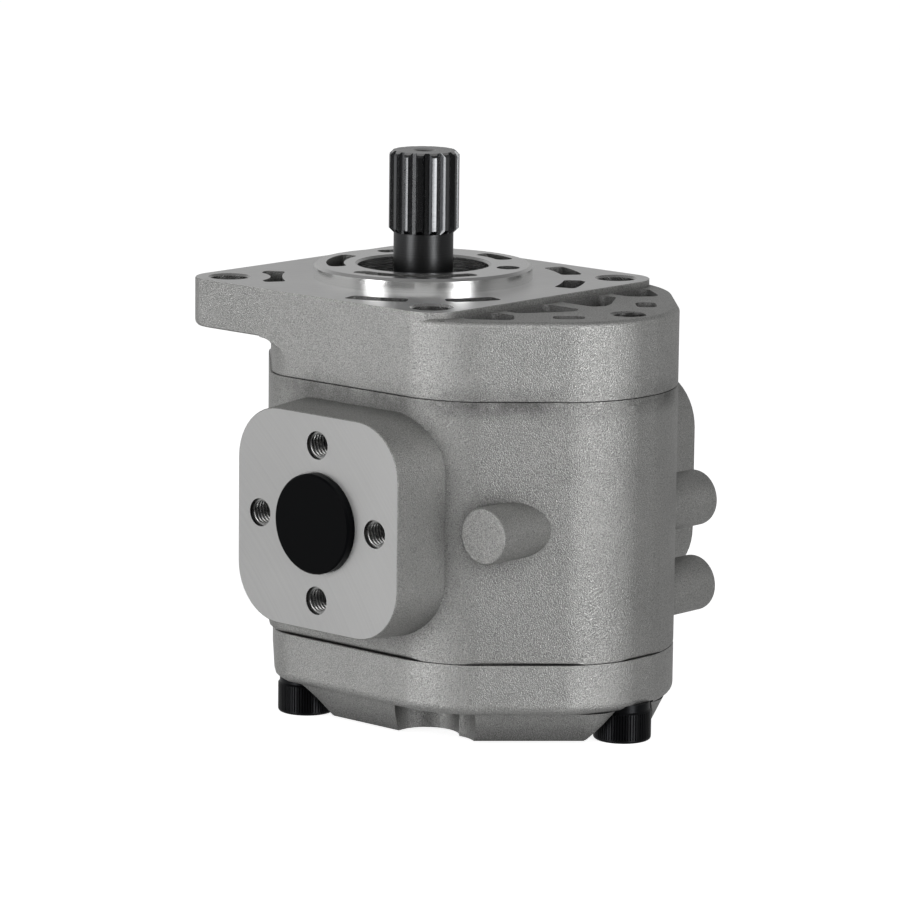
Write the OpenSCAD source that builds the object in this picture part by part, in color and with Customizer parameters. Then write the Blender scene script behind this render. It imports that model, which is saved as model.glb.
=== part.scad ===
// External gear pump, standing shaft up, with a square mounting flange and two flanged side ports.
// The origin is on the shaft's axis, in the mounting face. +X runs to the driven gear, -Y to the inlet.

/* [Mounting] */
// Distance from a mounting hole to the nearest sides of the flange
flange_margin = 12.5; // [11.5:0.5:15]
// Radius of the flange's corners
flange_corner_r = 12.5; // [9:0.5:16]
// Thickness of the flange's free ears
flange_t = 17.8; // [14:0.2:22]
// Diameter of the locating pilot
pilot_d = 80; // [76:1:84]
// Height of the pilot above the mounting face
pilot_h = 5.2; // [3.5:0.1:8]
// Chamfer round the pilot's edge
pilot_chamfer = 1; // [0.5:0.1:1.6]
// Distance between neighbouring mounting holes
mount_spacing = 100; // [96:1:104]
// Diameter of the mounting holes
mount_hole_d = 14; // [11:0.5:16]
// Chamfer at the mouth of a mounting hole
mount_hole_chamfer = 0.8; // [0.3:0.1:1.5]

/* [Casing] */
// Distance from an end screw to the end of the casing
end_wall = 9; // [8:0.5:12]
// Distance from a gear's axis to the slanted sides near it
slant_reach = 55.2; // [54:0.2:57]
// Distance from the outermost bolt or screw to the long side of the casing
side_wall = 12; // [11:0.5:12.5]
// Radius of the casing's upright corners
casing_corner_r = 18; // [12:1:24]
// Height of the front cover
front_cover_h = 30.7; // [28:0.1:36]
// Drop from the mounting face to the face beyond the flange
step_drop = 1.6; // [0.8:0.1:3]
// Rounding of the front cover's upper edge
front_edge_r = 2.4; // [1:0.1:3]
// Rounding under the flange, where its ears leave the casing
ear_fillet_r = 5; // [3:0.5:8]
// Rounding of the flange's lower edge
flange_edge_r = 2; // [1:0.1:3]
// Chamfer where a milled face cuts a cast side
milled_chamfer = 0.4; // [0.2:0.1:0.6]
// Height of the gear housing
housing_h = 94.4; // [88:0.1:104]
// How far the housing stands proud of the front cover at its left end
housing_overhang = 0.8; // [0.3:0.1:1.2]
// How far the rear cover stays behind the front cover at its left end
rear_setback = 1.2; // [0.3:0.1:2]
// Height of the rear cover at its rim
rear_cover_h = 18.7; // [16:0.1:24]
// Rounding of the rear cover's lower edge
rear_edge_r = 4; // [2:0.5:6]
// Height of the raised back of the rear cover
back_h = 10.9; // [7:0.1:13]
// Setback of the raised back from the rim, at its root
back_root_inset = 3.5; // [2.5:0.5:6]
// Setback of the raised back from the rim, at its flat
back_flat_inset = 9; // [7:0.5:12]
// Rounding of the edges at the seams between the castings
seam_edge_r = 0.5; // [0.3:0.1:0.9]

/* [Gears and shafts] */
// Distance between the two gear axes
gear_centres = 49; // [48:0.5:51]
// Number of teeth on each gear
gear_teeth = 12; // [12:2:14]
// Pressure angle of the teeth
pressure_angle = 25; // [24:0.5:26]
// Play between the flanks of meshing teeth
backlash = 0.1; // [0.06:0.02:0.2]
// Radial play between the gears and the housing
tip_clearance = 0.05; // [0.03:0.01:0.09]
// Length of one bearing block
block_l = 26; // [22:0.5:28]
// Play at each face between gear, bearing block and cover
face_clearance = 0.025; // [0.015:0.005:0.05]
// Diameter of the shafts in their bearings
journal_d = 26; // [24:0.5:28]
// Radial play of a shaft in its bush
journal_clearance = 0.05; // [0.02:0.01:0.08]
// Wall of a bearing bush
bush_wall = 2.5; // [1.5:0.25:3]
// Height of the splined end above the mounting face
spline_top = 46.8; // [42:0.2:52]
// Length of the spline
spline_l = 29.8; // [24:0.2:32]
// Number of spline teeth
spline_teeth = 15; // [13:1:17]
// Diameter over the spline teeth
spline_d = 25.7; // [25:0.1:27]
// Depth of the spline's spaces
spline_depth = 1.75; // [1.2:0.05:2]
// Chamfer at both ends of the spline
spline_chamfer = 1.5; // [1:0.1:2]
// Diameter of the shaft's neck below the spline
neck_d = 21.9; // [20:0.1:22]
// Depth at which the neck widens to the journal, below the mounting face
neck_end = 4; // [3:0.5:4.5]
// Diameter of the centre hole's mouth in the shaft's end
centre_hole_d = 8.5; // [6:0.5:10]
// Chamfer at that mouth
centre_hole_chamfer = 1.2; // [0.8:0.1:1.5]
// Depth of the centre hole
centre_hole_depth = 16; // [10:1:24]
// Turn of the spline about the shaft
spline_turn = 5; // [0:1:24]
// End play between a shaft and a cover
shaft_end_gap = 0.8; // [0.4:0.1:1]
// Chamfer at the ends of a journal
journal_chamfer = 1; // [0.5:0.1:1.5]

/* [Shaft seal] */
// Diameter of the bore for the shaft seal
seal_bore_d = 48; // [47:0.5:52]
// Depth of the seal's outer face below the mounting face
seal_depth = 6.8; // [6.8:0.2:8]
// Width of the shaft seal
seal_w = 8.8; // [8.4:0.2:10]
// Sheet thickness of the seal's steel case
seal_case_t = 1.2; // [1:0.1:1.4]
// Thickness of the retaining ring
ring_t = 1.75; // [1.5:0.05:2]
// Depth of the retaining ring's groove
ring_groove = 1.25; // [1:0.05:1.5]
// Radial height of the retaining ring
ring_w = 4.6; // [3.6:0.1:5]
// Radius of the plier holes in the retaining ring
ring_hole_r = 1.1; // [0.8:0.1:1.3]
// Radial width of the rubber inside the seal's case
seal_flex_w = 4.5; // [4:0.1:5]
// Radius of the garter spring's coil
garter_r = 0.75; // [0.6:0.05:0.8]

/* [Seals and blocks] */
// Wall between the gear bores and the groove of the housing's face seal
seal_groove_wall = 4; // [3:0.1:5]
// Width of the face seal's groove
seal_groove_w = 3.2; // [2.5:0.1:3.4]
// Depth of the face seal's groove
seal_groove_depth = 2.2; // [1.8:0.1:2.6]
// Inner radius of the pressure seal's groove
press_r = 23; // [22:0.1:23.5]
// Width of the pressure seal's groove
press_w = 3.2; // [2.6:0.1:3.4]
// Depth of the pressure seal's groove
press_depth = 2.8; // [2:0.1:3.2]
// Distance from the gears' plane at which the pressure seal's groove stops, towards the inlet
press_stop = 4; // [3:0.5:8]
// Width of the strip behind the pressure seal
strip_w = 1.1; // [0.8:0.1:1.4]
// Distance from the gears' plane to the relief pockets beside the mesh
relief_at = 13; // [12:0.5:14]
// Length, width and depth of a relief pocket
relief_size = [7, 9, 3.5];

/* [Ports] */
// Distance from the gears' plane to a port's face
port_reach = 81; // [78:0.5:84]
// Height of the ports above the middle of the housing
port_offset = 1; // [0:0.2:2]
// Width of the square port boss at its face
port_boss_w = 78; // [76:0.5:79]
// Radius of the port boss's corners
port_boss_corner_r = 19; // [14:1:22]
// Radius of the port boss's fillet against the housing
port_fillet_r = 4.5; // [3:0.5:5]
// Growth of a port boss from its face to its root
port_draft = 1; // [0.5:0.1:1.2]
// Diameter of the inlet
inlet_d = 30; // [26:0.5:31]
// Diameter of the outlet
outlet_d = 27; // [24:0.5:30]
// Diameter of the circle of port bolts
port_pcd = 56; // [55:0.5:58]
// Tapping diameter of the port bolt holes
port_tap_d = 8.5; // [6.8:0.1:8.8]
// Diameter of their countersinks
port_sink_d = 10.7; // [10:0.1:11.5]
// Depth of the port bolt holes
port_tap_depth = 19; // [15:0.5:20]
// Diameter of the shallow seat for the plug or a flange's seal, round the port's mouth
port_seat_d = 37; // [36.6:0.1:39]
// Depth of that seat
port_seat_depth = 0.2; // [0.1:0.1:0.5]
// Diameter of the plug that closes a port in transit
plug_d = 36; // [35:0.5:38]
// Thickness of the plug's head
plug_t = 3.2; // [2.5:0.1:4]
// Length of the plug's hollow stem
plug_stem_l = 14; // [10:0.5:16]
// Wall of the plug's stem
plug_wall = 2; // [1.5:0.1:2.5]
// Radial play of the plug in its port
plug_clearance = 0.05; // [0.03:0.01:0.09]

/* [Cast bosses] */
// Radius of the round bosses on the slanted sides
pad_r = 10.2; // [8:0.1:11]
// Rounding of the bosses' ends
pad_edge_r = 2; // [1:0.1:3]
// Distance of the bosses beyond the driven gear's axis
pad_x = 35; // [33:0.5:36]
// Distance from the gears' plane to a boss's end
pad_reach = 59.5; // [57:0.5:61]
// Depth of the lower boss below the upper one, on the outlet side
pad_step = 32; // [28:1:34]

/* [Screws and dowels] */
// Diameter of the circle of screws round each gear axis
screw_circle_d = 100; // [98:0.5:102]
// Angle of the side screws from the line of centres
screw_angle = 102.6; // [100:0.2:106]
// Diameter of the screws
screw_d = 14; // [13:0.5:14]
// Diameter at the root of the screw threads
screw_root_d = 12; // [11:0.1:12.2]
// Diameter of a screw head
head_d = 20.8; // [20:0.1:21.5]
// Height of a screw head
head_h = 14; // [12:0.5:14.5]
// Diameter of the plain collar under a screw head
collar_d = 19.6; // [19:0.1:20]
// Height of that collar
collar_h = 2.8; // [1.5:0.1:3.2]
// Width of the hexagon socket across its flats
socket_w = 12; // [10:1:12]
// Depth of the hexagon socket
socket_depth = 7.5; // [6:0.5:8]
// Depth of the spot faces under the screw heads
spot_depth = 1.8; // [1:0.1:2.5]
// Room round a screw head in its spot face
spot_gap = 0.6; // [0.4:0.1:1]
// Play of the screws in the housing and the rear cover
screw_gap = 0.5; // [0.3:0.1:0.7]
// Depth below the mounting face at which the tapped holes under the flange stop
tap_stop = 6; // [5:0.5:8]
// Depth below the mounting face at which the screws stop
screw_stop = 9; // [8.5:0.5:11]
// Diameter of the dowel pins
dowel_d = 8; // [6:0.5:9]
// Length of the dowel pins
dowel_l = 14; // [10:1:18]
// Distance of the dowels from the gear axes
dowel_r = 42.5; // [41.5:0.5:44]

/* [Pockets] */
// Depth of the cored pockets in the mounting face
pocket_depth = 10; // [6:0.5:12]
// Inner radius of the pockets round the pilot
flange_pocket_r1 = 51.5; // [50:0.5:53]
// Outer radius of the pockets round the pilot
flange_pocket_r2 = 59.5; // [57:0.5:61]
// Radius of the solid boss left round each mounting hole
mount_boss_r = 15; // [13:0.5:17]
// Inner radius of the pockets in the pilot's face
pilot_pocket_r1 = 29; // [28:0.5:30]
// Outer radius of the pockets in the pilot's face
pilot_pocket_r2 = 35.5; // [34:0.5:36.5]
// Depth of the pockets in the pilot's face
pilot_pocket_depth = 11; // [6:0.5:12]
// Radius of the pockets' corners
pocket_corner_r = 1.8; // [1:0.1:2.4]
// Radius of the round pocket in the pilot's face
round_pocket_r = 4.2; // [3.5:0.1:4.6]
// Depth of the scooped pockets beyond the flange
scoop_depth = 9; // [6:0.5:12]
// Slope of their walls
scoop_draft = 16; // [10:1:20]
// Rounding at their floors
scoop_floor_r = 1.6; // [1:0.1:2]
// Radius of their corners
scoop_corner_r = 3; // [2:0.5:4]

/* [Hidden] */
$fn = 64;

// Colours
cast_aluminium = [0.62, 0.63, 0.62];
block_aluminium = [0.74, 0.75, 0.76];
shaft_steel = [0.2, 0.2, 0.21];
pin_steel = [0.55, 0.56, 0.58];
bush_bronze = [0.66, 0.5, 0.3];
black_oxide = [0.08, 0.08, 0.09];
seal_rubber = [0.12, 0.12, 0.13];
strip_plastic = [0.88, 0.86, 0.8];
plug_plastic = [0.06, 0.06, 0.07];

// Fits of pieces that are pressed or laid into each other
seat_gap = 0.02;
groove_gap = 0.1;
overlap = 1;
dowel_end_gap = 0.5;
least_r = 0.2;
corner_steps = 6;
edge_steps = 3;
fillet_steps = 4;
lip_round = 0.6;

// Heights, all measured from the mounting face
seam_front = -front_cover_h;
seam_rear = seam_front - housing_h;
rim_back = seam_rear - rear_cover_h;
flat_back = rim_back - back_h;
gear_top = seam_front - block_l - 2 * face_clearance;
gear_bottom = seam_rear + block_l + 2 * face_clearance;
port_z = (seam_front + seam_rear) / 2 + port_offset;
spline_bottom = spline_top - spline_l;
seal_top = -seal_depth;
seal_bottom = seal_top - seal_w;
ring_bottom = seal_top + seat_gap;
ring_top = ring_bottom + ring_t;

// Places in plan
middle = gear_centres / 2;
axes = [[0, 0], [gear_centres, 0]];
mount_at = mount_spacing / 2;
mounts = [for (x = [-1, 1]) for (y = [-1, 1]) mount_at * [x, y]];
through_mounts = [for (m = mounts) if (m.x > 0) m];
screw_r = screw_circle_d / 2;
side_screw = screw_r * [cos(screw_angle), sin(screw_angle)];
blind_screws = [[-screw_r, 0], side_screw, [side_screw.x, -side_screw.y]];
end_screw = [gear_centres + screw_r, 0];
screws = concat(blind_screws, [end_screw]);
end_reach = screw_r + end_wall;
casing_w = 2 * (max(mount_at, side_screw.y) + side_wall);
flange_w = mount_spacing + 2 * flange_margin;
dowels = [dowel_r * [-cos(45), sin(45)], [gear_centres, 0] + dowel_r * [cos(45), -sin(45)]];

// Gear sizes
gear_module = gear_centres / gear_teeth;
pitch_r = gear_centres / 2;
tip_r = pitch_r + gear_module;
root_r = pitch_r - 1.2 * gear_module;
base_r = pitch_r * cos(pressure_angle);
gear_bore_r = tip_r + tip_clearance;
seal_groove_r = gear_bore_r + seal_groove_wall;
block_r = tip_r;
journal_r = journal_d / 2;
bush_r1 = journal_r + journal_clearance;
bush_r2 = bush_r1 + bush_wall;
strip_r = press_r + press_w - strip_w;

// Radii of the shaft seal's parts
case_r = seal_bore_d / 2 - seat_gap;
case_hole_r = journal_r + seal_flex_w;
lip_r = journal_r + journal_clearance;
lip_z = seal_bottom + 3.4;
garter_seat_r = lip_r + 2.6;

// Point at a distance and an angle from the origin
function polar(r, a) = r * [cos(a), sin(a)];

// Points along an arc
function arc(centre, r, from, to, steps) =
    [for (i = [0 : steps]) centre + polar(r, from + (to - from) * i / steps)];

// Crossing of two lines, each given by the angle of its normal and its distance from the origin
function crossing(one, two) =
    [one[1] * sin(two[0]) - two[1] * sin(one[0]), two[1] * cos(one[0]) - one[1] * cos(two[0])]
    / sin(two[0] - one[0]);

// Sides of a convex outline, listed anticlockwise, as the angle of the normal and the distance
function sides(points) = [for (i = [0 : len(points) - 1])
    let (a = points[i], b = points[(i + 1) % len(points)], angle = atan2(a.x - b.x, b.y - a.y))
    [angle, a * polar(1, angle)]];

// Convex outline with round corners, every side moved inwards by the inset
function rounded(lines, radius, inset) = [for (i = [0 : len(lines) - 1])
    let (one = lines[i],
        two = lines[(i + 1) % len(lines)],
        turn = (two[0] - one[0] + 720) % 360,
        r = max(radius - inset, least_r),
        centre = crossing([one[0], one[1] - inset - r], [two[0], two[1] - inset - r]))
    for (p = arc(centre, r, one[0], one[0] + turn, corner_steps)) p];

// Heights and insets up the side of a casting whose lower and upper edges are rounded
function side_profile(z0, z1, r0, r1) = concat(
    [for (i = [0 : edge_steps]) let (a = 90 * i / edge_steps)
        [z0 + r0 * (1 - cos(a)), r0 * (1 - sin(a))]],
    [for (i = [0 : edge_steps]) let (a = 90 * i / edge_steps)
        [z1 - r1 * (1 - sin(a)), r1 * (1 - cos(a))]]);

// Solid lofted through an outline at several heights and insets, lowest first
module loft(lines, radius, profile) {
    rings = [for (step = profile) [for (p = rounded(lines, radius, step[1])) [p.x, p.y, step[0]]]];
    count = len(rings[0]);
    top = (len(rings) - 1) * count;
    polyhedron([for (ring = rings) for (p = ring) p], concat(
        [[for (i = [0 : count - 1]) i]],
        [for (k = [0 : len(rings) - 2]) for (i = [0 : count - 1]) let (j = (i + 1) % count)
            [k * count + i, (k + 1) * count + i, (k + 1) * count + j, k * count + j]],
        [[for (i = [count - 1 : -1 : 0]) top + i]]));
}

// Outline of the casing about the drive axis; its left end is moved outwards by the shift
function casing_sides(shift) = [for (k = [0 : 7])
    let (a = 45 * k, left = a > 90 && a < 270)
    [a, cos(a) * middle + (a % 90 == 45 ? abs(cos(a)) * middle + slant_reach
        : a % 180 == 90 ? casing_w / 2
        : middle + end_reach) + (left ? shift : 0)]];

// Square outline of a given width
function square_sides(w) = [for (a = [0, 90, 180, 270]) [a, w / 2]];

// Ring-shaped pocket between two radii and two angles, with small round corners
function band(r1, r2, a1, a2, c) =
    let (turn = c / ((r1 + r2) / 2) * 180 / PI, steps = 8, bend = [0 : 30 : 90])
    concat(
        arc([0, 0], r2, a1 + turn, a2 - turn, steps),
        [for (b = bend) polar(r2 - c + c * cos(b), a2 - turn + turn * sin(b))],
        [for (b = bend) polar(r1 + c - c * sin(b), a2 - turn + turn * cos(b))],
        arc([0, 0], r1, a2 - turn, a1 + turn, steps),
        [for (b = bend) polar(r1 + c - c * cos(b), a1 + turn - turn * sin(b))],
        [for (b = bend) polar(r2 - c + c * sin(b), a1 + turn - turn * cos(b))]);

// Long oval about both gear axes
function oval(r) = concat(arc(axes[1], r, -90, 90, 16), arc(axes[0], r, 90, 270, 16));

// Plain hole or pin between two heights
module round_bar(r, z0, z1) {
    translate([0, 0, z0]) cylinder(r = r, h = z1 - z0);
}

// Chamfer at the mouth of an upright hole
module countersink(r, chamfer, mouth) {
    translate([0, 0, mouth - chamfer]) cylinder(r1 = r, r2 = r + 2 * chamfer, h = 2 * chamfer);
}

// Ring or disc turned from an outline of radii and heights
module turned(profile) {
    rotate_extrude($fn = 96) polygon(profile);
}

// Flat outline between two heights
module slab(z0, z1) {
    translate([0, 0, z0]) linear_extrude(z1 - z0) children();
}

// Two discs about the gear axes
module twin_discs(r) {
    for (a = axes) translate(a) circle(r, $fn = 96);
}

// What lies on the port axis of one side, with its height measured outwards from the gears' plane
module at_port(side) {
    mirror([0, side > 0 ? 1 : 0, 0]) translate([middle, 0, port_z]) rotate([90, 0, 0]) children();
}

// Holes of the screws and of the long mounting bolts, through a casting between two heights
module bolt_holes(z0, z1) {
    for (s = screws) translate(s) round_bar(screw_d / 2 + screw_gap, z0, z1);
    for (m = through_mounts) translate(m) round_bar(mount_hole_d / 2, z0, z1);
}

// Holes of the dowels that cross a seam
module dowel_holes(seam) {
    half = dowel_l / 2 + dowel_end_gap;
    for (d = dowels) translate(d) round_bar(dowel_d / 2 + seat_gap, seam - half, seam + half);
}

// Cored pockets in the mounting face, beside the mounting holes
module flange_pockets() {
    spans = [[19, 38.5], [52.5, 73], [122, 149], [211, 238], [284, 307], [321, 341]];
    slab(-pocket_depth, overlap) difference() {
        for (s = spans) polygon(band(flange_pocket_r1, flange_pocket_r2, s[0], s[1], pocket_corner_r));
        for (m = mounts) translate(m) circle(mount_boss_r);
    }
}

// Cored pockets in the pilot's face, round the seal bore
module pilot_pockets() {
    spans = [[62, 92], [140, 163], [188, 241], [265, 348]];
    round_pocket_angle = 26;
    slab(pilot_h - pilot_pocket_depth, pilot_h + overlap) {
        for (s = spans) polygon(band(pilot_pocket_r1, pilot_pocket_r2, s[0], s[1], 1.3 * pocket_corner_r));
        translate(polar((pilot_pocket_r1 + pilot_pocket_r2) / 2, round_pocket_angle)) circle(round_pocket_r);
    }
}

// Pocket with drafted walls, sunk from the step beyond the flange
module scoop(points, depth) {
    draft = depth * tan(scoop_draft);
    bottom = -step_drop - depth;
    loft(sides(points), scoop_corner_r, concat(
        [for (i = [0 : edge_steps - 1]) let (a = 90 * i / edge_steps)
            [bottom + scoop_floor_r * (1 - cos(a)), draft + scoop_floor_r * (1 - sin(a))]],
        [[bottom + scoop_floor_r, draft], [-step_drop, 0], [overlap, 0]]));
}

// Pockets beyond the flange, in pairs about the line of centres
module step_pockets() {
    big = [[0, 3.4], [16, 3.4], [18.5, 8], [16.5, 13.5], [7.5, 27], [0, 27]];
    outer = [[0, 31], [9.5, 31], [16.5, 38.5], [14.5, 42], [4, 49.5], [0, 49.5]];
    small = [[-6, -4], [6, -4], [6, 4], [-6, 4]];
    small_at = [26.1, 21];
    for (s = [0, 1]) mirror([0, s, 0]) translate([flange_w / 2 + milled_chamfer, 0, 0]) {
        scoop(big, scoop_depth);
        scoop(outer, scoop_depth);
        translate(small_at) rotate(-45) scoop(small, scoop_depth / 2);
    }
}

// Fillet under the flange's free ears, kept within the flange's outline
module ear_fillet() {
    intersection() {
        loft(casing_sides(0), casing_corner_r, concat(
            [for (i = [0 : fillet_steps]) let (a = 180 - 90 * i / fillet_steps)
                [-flange_t - ear_fillet_r * (1 - sin(a)), -ear_fillet_r * (1 + cos(a)) - 0.01 * i]],
            [[-flange_t + overlap, -ear_fillet_r - 0.1]]));
        loft(square_sides(flange_w), flange_corner_r,
            [[-flange_t - 2 * ear_fillet_r, 0.05], [-overlap, 0.05]]);
    }
}

module front_cover() {
    color(cast_aluminium) difference() {
        union() {
            loft(casing_sides(0), casing_corner_r,
                side_profile(seam_front, -step_drop, seam_edge_r, front_edge_r));
            loft(square_sides(flange_w), flange_corner_r,
                side_profile(-flange_t, 0, flange_edge_r, milled_chamfer));
            ear_fillet();
            turned([[0, -overlap], [pilot_d / 2, -overlap], [pilot_d / 2, pilot_h - pilot_chamfer],
                [pilot_d / 2 - pilot_chamfer, pilot_h], [0, pilot_h]]);
        }
        round_bar(seal_bore_d / 2, seal_bottom, pilot_h + overlap);
        round_bar(seal_bore_d / 2 + ring_groove, ring_bottom - seat_gap, ring_top + seat_gap);
        round_bar(journal_r + 1.5, seam_front - overlap, seal_bottom + overlap);
        countersink(seal_bore_d / 2, mount_hole_chamfer, pilot_h);
        for (m = mounts) translate(m) {
            round_bar(mount_hole_d / 2, seam_front - overlap, overlap);
            countersink(mount_hole_d / 2, mount_hole_chamfer, 0);
        }
        for (s = blind_screws) translate(s) round_bar(screw_root_d / 2, seam_front - overlap, -tap_stop);
        translate(end_screw) {
            round_bar(screw_root_d / 2, seam_front - overlap, overlap);
            countersink(screw_root_d / 2, (screw_d - screw_root_d) / 2, -step_drop);
        }
        dowel_holes(seam_front);
        flange_pockets();
        pilot_pockets();
        step_pockets();
    }
}

// Square port boss, filleted against the housing's side
module port_boss() {
    wall = casing_w / 2;
    root = port_draft + port_fillet_r;
    loft(square_sides(port_boss_w), port_boss_corner_r, concat(
        [[pitch_r + inlet_d / 2, -root - 0.1]],
        [for (i = [0 : fillet_steps]) let (a = 90 * i / fillet_steps)
            [wall + port_fillet_r * (1 - cos(a)), -root + port_fillet_r * sin(a)]],
        [[port_reach - milled_chamfer, 0], [port_reach, milled_chamfer]]));
}

// Passage from a port's face to the gears, with its bolt holes
module port_holes(bore_d) {
    round_bar(bore_d / 2, pitch_r / 2, port_reach + overlap);
    round_bar(port_seat_d / 2, port_reach - port_seat_depth, port_reach + overlap);
    for (a = [0 : 90 : 270]) rotate(a) translate([port_pcd / 2, 0, 0]) {
        round_bar(port_tap_d / 2, port_reach - port_tap_depth, port_reach + overlap);
        countersink(port_tap_d / 2, (port_sink_d - port_tap_d) / 2, port_reach);
    }
}

// Round cast boss on a slanted side, with a rounded end
module pad() {
    root = pad_reach - 2.4 * pad_r;
    turned(concat([[0, root], [pad_r, root]],
        arc([pad_r - pad_edge_r, pad_reach - pad_edge_r], pad_edge_r, 0, 90, corner_steps),
        [[0, pad_reach]]));
}

module gear_housing() {
    color(cast_aluminium) difference() {
        union() {
            loft(casing_sides(housing_overhang), casing_corner_r,
                side_profile(seam_rear, seam_front, seam_edge_r + 1.5, seam_edge_r));
            for (s = [-1, 1]) at_port(s) {
                port_boss();
                translate([middle + pad_x, 0, 0]) pad();
            }
            at_port(1) translate([middle + pad_x, -pad_step, 0]) pad();
        }
        for (a = axes) translate(a) round_bar(gear_bore_r, seam_rear - overlap, seam_front + overlap);
        at_port(-1) port_holes(inlet_d);
        at_port(1) port_holes(outlet_d);
        bolt_holes(seam_rear - overlap, seam_front + overlap);
        dowel_holes(seam_front);
        dowel_holes(seam_rear);
        for (z = [seam_front, seam_rear]) seal_groove(z);
    }
}

// Groove of the housing's face seal, drawn about a seam
module seal_groove(seam) {
    slab(seam - seal_groove_depth, seam + seal_groove_depth) difference() {
        polygon(oval(seal_groove_r + seal_groove_w));
        polygon(oval(seal_groove_r));
    }
}

module housing_seal(z0, z1) {
    color(seal_rubber) slab(z0, z1) difference() {
        polygon(oval(seal_groove_r + seal_groove_w - groove_gap));
        polygon(oval(seal_groove_r + groove_gap));
    }
}

module front_housing_seal() {
    housing_seal(seam_front - seal_groove_depth + seat_gap, seam_front - seat_gap);
}

module rear_housing_seal() {
    housing_seal(seam_rear + seat_gap, seam_rear + seal_groove_depth - seat_gap);
}

module rear_cover() {
    spot_r = head_d / 2 + spot_gap;
    relief_slope = 7.4;
    color(cast_aluminium) difference() {
        union() {
            loft(casing_sides(-rear_setback), casing_corner_r,
                side_profile(rim_back, seam_rear, rear_edge_r, seam_edge_r));
            loft(casing_sides(-rear_setback), casing_corner_r, [[flat_back, back_flat_inset + lip_round],
                [flat_back + lip_round, back_flat_inset], [rim_back + overlap, back_root_inset]]);
        }
        for (s = screws) translate(s) {
            translate([0, 0, flat_back - overlap])
                cylinder(r1 = spot_r + relief_slope, r2 = spot_r, h = back_h + overlap + 0.01);
            round_bar(spot_r, rim_back - overlap, rim_back + spot_depth);
        }
        for (m = through_mounts) translate(m) {
            round_bar(spot_r + 0.6, flat_back - overlap, rim_back + 0.3);
            translate([11, m.y > 0 ? 7 : -7, 0]) round_bar(spot_r + 2.8, flat_back - overlap, rim_back + 0.3);
        }
        bolt_holes(rim_back - overlap, seam_rear + overlap);
        for (a = axes) translate(a) round_bar(journal_r + 1, seam_rear - 3, seam_rear + overlap);
        dowel_holes(seam_rear);
    }
}

// Half the angle that a gear tooth covers at a radius, in degrees
function involute(r) = let (a = acos(base_r / r)) tan(a) * 180 / PI - a;
function tooth_half(r) =
    90 / gear_teeth - backlash / 2 / pitch_r * 180 / PI + involute(pitch_r) - involute(r);

// Outline of a gear with a tooth on the +X line
function gear_outline() =
    let (steps = 6, foot = tooth_half(base_r), space = 180 / gear_teeth - foot)
    [for (k = [0 : gear_teeth - 1]) let (turn = 360 * k / gear_teeth) for (p = concat(
        [polar(root_r, -foot - space * 0.7), polar(root_r + 0.5, -foot)],
        [for (i = [0 : steps]) let (r = base_r + (tip_r - base_r) * i / steps) polar(r, -tooth_half(r))],
        [polar(tip_r, 0)],
        [for (i = [steps : -1 : 0]) let (r = base_r + (tip_r - base_r) * i / steps) polar(r, tooth_half(r))],
        [polar(root_r + 0.5, foot), polar(root_r, foot + space * 0.7)]))
        [p.x * cos(turn) - p.y * sin(turn), p.x * sin(turn) + p.y * cos(turn)]];

// Outline of the spline
function spline_outline() =
    let (pitch = 360 / spline_teeth, r1 = spline_d / 2 - spline_depth, r2 = spline_d / 2)
    [for (k = [0 : spline_teeth - 1]) for (c = [[r1, -0.36], [r2 - 0.3, -0.185], [r2, -0.15], [r2, 0],
        [r2, 0.15], [r2 - 0.3, 0.185], [r1, 0.36]]) polar(c[0], spline_turn + pitch * (k + c[1]))];

// Journal with chamfered ends
module journal(z0, z1) {
    c = journal_chamfer;
    turned([[0, z0], [journal_r - c, z0], [journal_r, z0 + c],
        [journal_r, z1 - c], [journal_r - c, z1], [0, z1]]);
}

module drive_gear_shaft() {
    centre_hole_r = centre_hole_d / 2 - centre_hole_chamfer;
    color(shaft_steel) difference() {
        union() {
            slab(gear_bottom, gear_top) polygon(gear_outline());
            journal(seam_rear + shaft_end_gap, gear_bottom + overlap);
            turned([[0, gear_top - overlap], [journal_r, gear_top - overlap], [journal_r, -neck_end],
                [neck_d / 2, -neck_end + 2], [neck_d / 2, spline_bottom + 0.6], [0, spline_bottom + 0.6]]);
            intersection() {
                slab(spline_bottom, spline_top) polygon(spline_outline());
                turned([[0, spline_bottom], [spline_d / 2 - spline_chamfer, spline_bottom],
                    [spline_d / 2 + 0.2, spline_bottom + spline_chamfer + 0.2],
                    [spline_d / 2 + 0.2, spline_top - spline_chamfer - 0.2],
                    [spline_d / 2 - spline_chamfer, spline_top], [0, spline_top]]);
            }
        }
        round_bar(centre_hole_r, spline_top - centre_hole_depth, spline_top + overlap);
        countersink(centre_hole_r, centre_hole_chamfer, spline_top);
    }
}

module driven_gear_shaft() {
    color(shaft_steel) translate(axes[1]) {
        slab(gear_bottom, gear_top) rotate(180 / gear_teeth) polygon(gear_outline());
        journal(seam_rear + shaft_end_gap, gear_bottom + overlap);
        journal(gear_top - overlap, seam_front - shaft_end_gap);
    }
}

// Plan of the pressure seal's groove: a figure three that is open towards the inlet
module three_outline(r1, r2) {
    side = 4 * block_r;
    difference() {
        twin_discs(r2);
        twin_discs(r1);
        translate([middle - side / 2, -press_stop - side]) square(side);
    }
}

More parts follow.
